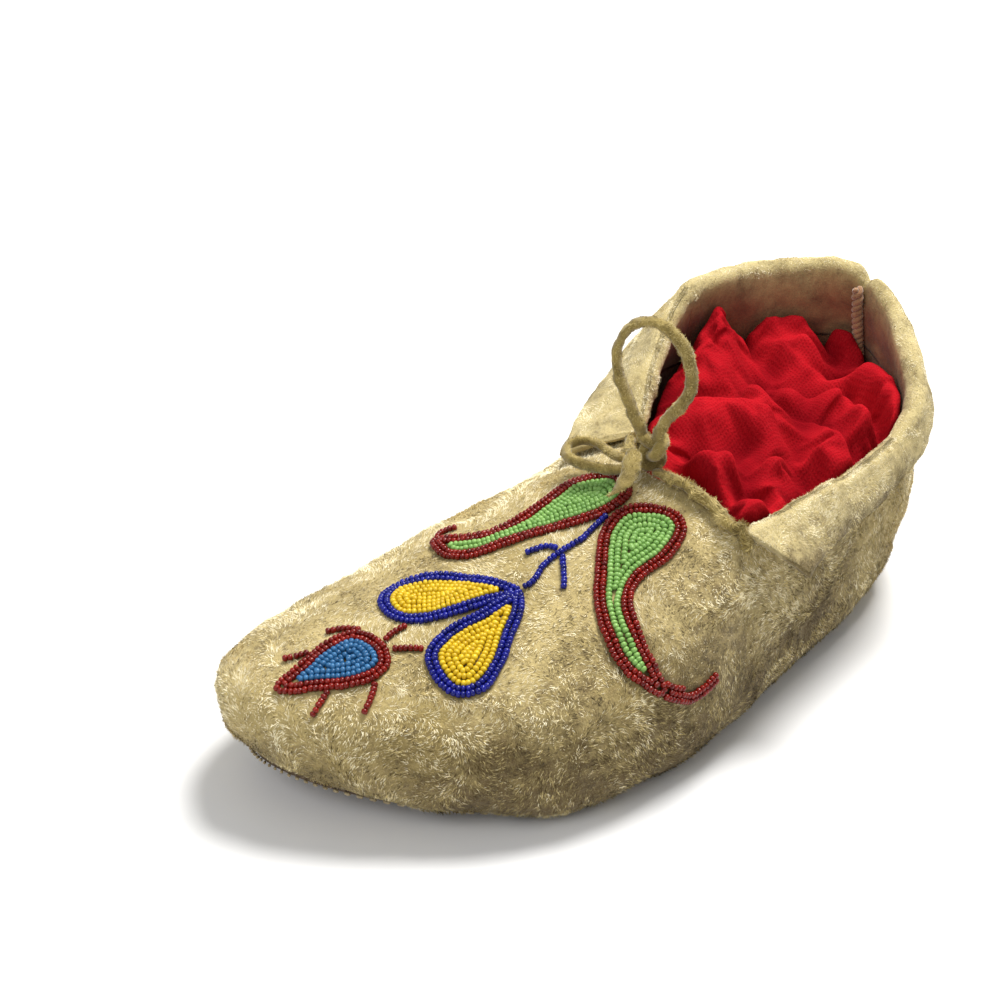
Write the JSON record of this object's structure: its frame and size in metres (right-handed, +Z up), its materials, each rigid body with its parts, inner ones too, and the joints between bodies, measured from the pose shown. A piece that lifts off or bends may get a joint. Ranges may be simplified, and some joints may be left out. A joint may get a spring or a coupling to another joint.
{
  "type": "beaded moccasin",
  "caption": "Left buckskin moccasin with a beaded floral vamp, a thong bow at the instep, a fold-down ankle cuff and a lift-out red cloth filling.",
  "frame": {"origin": "on the ground under the middle of the shoe's box, under the flat of the sole", "axes": "+Z up, -Y towards the toe, +Y towards the heel, +X towards the wearer's left, which is the outer side of this left shoe"},
  "size_m": [0.111, 0.2526, 0.1163],
  "materials": {
    "buckskin": "brain-tanned buckskin, napped and soiled",
    "cuff_buckskin": "smoother buckskin, rolled at the fold",
    "sole_rawhide": "dark worn rawhide",
    "sinew": "sinew thread",
    "thong": "fuzzy olive-tan suede thong",
    "red_knit": "crumpled red knitted cloth",
    "beads_dark_red": "translucent dark red seed beads",
    "beads_green": "opaque green seed beads",
    "beads_cobalt": "translucent cobalt seed beads",
    "beads_yellow": "opaque yellow seed beads",
    "beads_sky_blue": "opaque sky-blue seed beads"
  },
  "bodies": {
    "shoe": {"upper": "buckskin", "collar": "cuff_buckskin", "heel_flap": "cuff_buckskin", "sole": "sole_rawhide", "sole_stitching": "sinew", "heel_seam": "thong", "tie_knot": "thong", "tie_run_left": "thong", "tie_run_right": "thong", "tie_loop_large": "thong", "tie_loop_small": "thong", "tie_tail": "thong", "leaf_left_border": "beads_dark_red", "leaf_left_curl": "beads_dark_red", "leaf_right_border": "beads_dark_red", "leaf_right_hook": "beads_dark_red", "bud_border": "beads_dark_red", "bud_hair_1": "beads_dark_red", "bud_hair_2": "beads_dark_red", "bud_hair_3": "beads_dark_red", "bud_hair_4": "beads_dark_red", "bud_hair_5": "beads_dark_red", "bud_hair_6": "beads_dark_red", "leaf_left_fill": "beads_green", "leaf_right_fill": "beads_green", "stem": "beads_cobalt", "stem_sprig_1": "beads_cobalt", "stem_sprig_2": "beads_cobalt", "petal_left_border": "beads_cobalt", "petal_right_border": "beads_cobalt", "petal_left_fill": "beads_yellow", "petal_right_fill": "beads_yellow", "bud_fill": "beads_sky_blue"},
    "wing_left": {"wing_left": "cuff_buckskin"},
    "wing_right": {"wing_right": "cuff_buckskin"},
    "red_cloth": {"red_cloth": "red_knit"}
  },
  "joints": [
    {"name": "wing_left_fold", "type": "hinge", "parent": "shoe", "child": "wing_left", "pos_m": [0.0356, 0.0418, 0.0606], "axis": [0.0892, -0.9959, -0.0149], "range_deg": [0, 100]},
    {"name": "wing_right_fold", "type": "hinge", "parent": "shoe", "child": "wing_right", "pos_m": [-0.0299, 0.0453, 0.0785], "axis": [-0.44, 0.816, 0.375], "range_deg": [0, 110]},
    {"name": "cloth_lift", "type": "slide", "parent": "shoe", "child": "red_cloth", "axis": [0, 0, 1], "range_m": [0, 0.1]}
  ]
}
